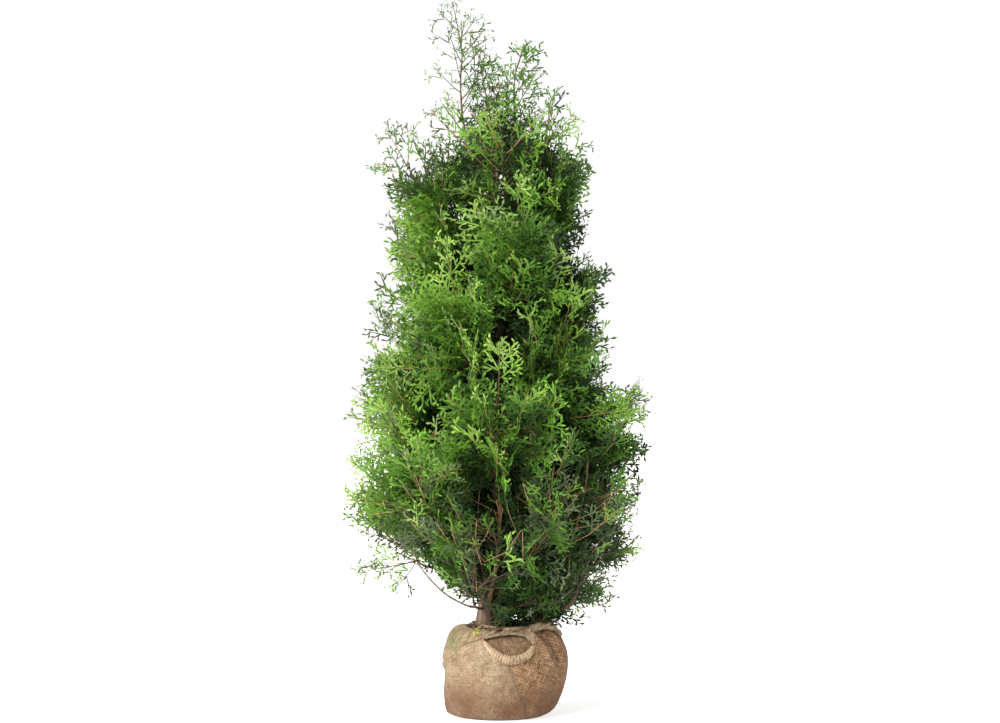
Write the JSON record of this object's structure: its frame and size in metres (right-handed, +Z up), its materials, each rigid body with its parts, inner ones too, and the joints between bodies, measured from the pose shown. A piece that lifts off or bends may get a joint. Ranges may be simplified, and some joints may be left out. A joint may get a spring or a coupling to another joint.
{
  "type": "root-balled thuja",
  "caption": "Dense columnar evergreen with flat scale-leaf sprays, three leaders and a leaning trunk, standing on its earth root ball wrapped in burlap.",
  "frame": {"origin": "centre of the root ball's belly, on the flat underside it stands on", "axes": "+Z up along the trunk, -Y towards the front, where the burlap's opening is, +X to the right"},
  "size_m": [0.7433, 0.7224, 1.7473],
  "materials": {
    "bark": "dull grey-brown stringy bark",
    "young_bark": "smooth red-brown young bark",
    "scale_leaves": "flat sprays of waxy scale leaves",
    "burlap": "coarse woven jute, dusty",
    "earth": "dry crumbly earth"
  },
  "bodies": {
    "root": {"back_crest": "scale_leaves", "bough_01": "young_bark", "bough_02": "young_bark", "bough_03": "young_bark", "bough_04": "young_bark", "bough_05": "young_bark", "bough_06": "young_bark", "bough_07": "young_bark", "bough_08": "young_bark", "bough_09": "young_bark", "bough_10": "young_bark", "bough_11": "young_bark", "bough_12": "young_bark", "bough_13": "young_bark", "bough_14": "young_bark", "bough_15": "young_bark", "bough_16": "young_bark", "bough_17": "young_bark", "burlap_collar": "burlap", "burlap_knot": "burlap", "burlap_swag": "burlap", "burlap_wrap": "burlap", "foliage_01": "scale_leaves", "foliage_02": "scale_leaves", "foliage_03": "scale_leaves", "foliage_04": "scale_leaves", "foliage_05": "scale_leaves", "foliage_06": "scale_leaves", "foliage_07": "scale_leaves", "foliage_08": "scale_leaves", "foliage_09": "scale_leaves", "foliage_10": "scale_leaves", "foliage_11": "scale_leaves", "foliage_12": "scale_leaves", "foliage_13": "scale_leaves", "foliage_14": "scale_leaves", "foliage_15": "scale_leaves", "foliage_16": "scale_leaves", "foliage_17": "scale_leaves", "foliage_18": "scale_leaves", "foliage_19": "scale_leaves", "foliage_20": "scale_leaves", "foliage_21": "scale_leaves", "foliage_22": "scale_leaves", "front_crest": "scale_leaves", "front_stem": "young_bark", "left_leader": "bark", "left_shoulder": "scale_leaves", "left_top": "scale_leaves", "low_bough": "young_bark", "low_bough_bend": "young_bark", "low_spray": "scale_leaves", "middle_leader": "young_bark", "middle_top": "scale_leaves", "right_crest": "scale_leaves", "right_stem": "bark", "right_top": "scale_leaves", "root_ball": "earth", "side_shoot": "young_bark", "trunk": "bark"}
  },
  "joints": []
}
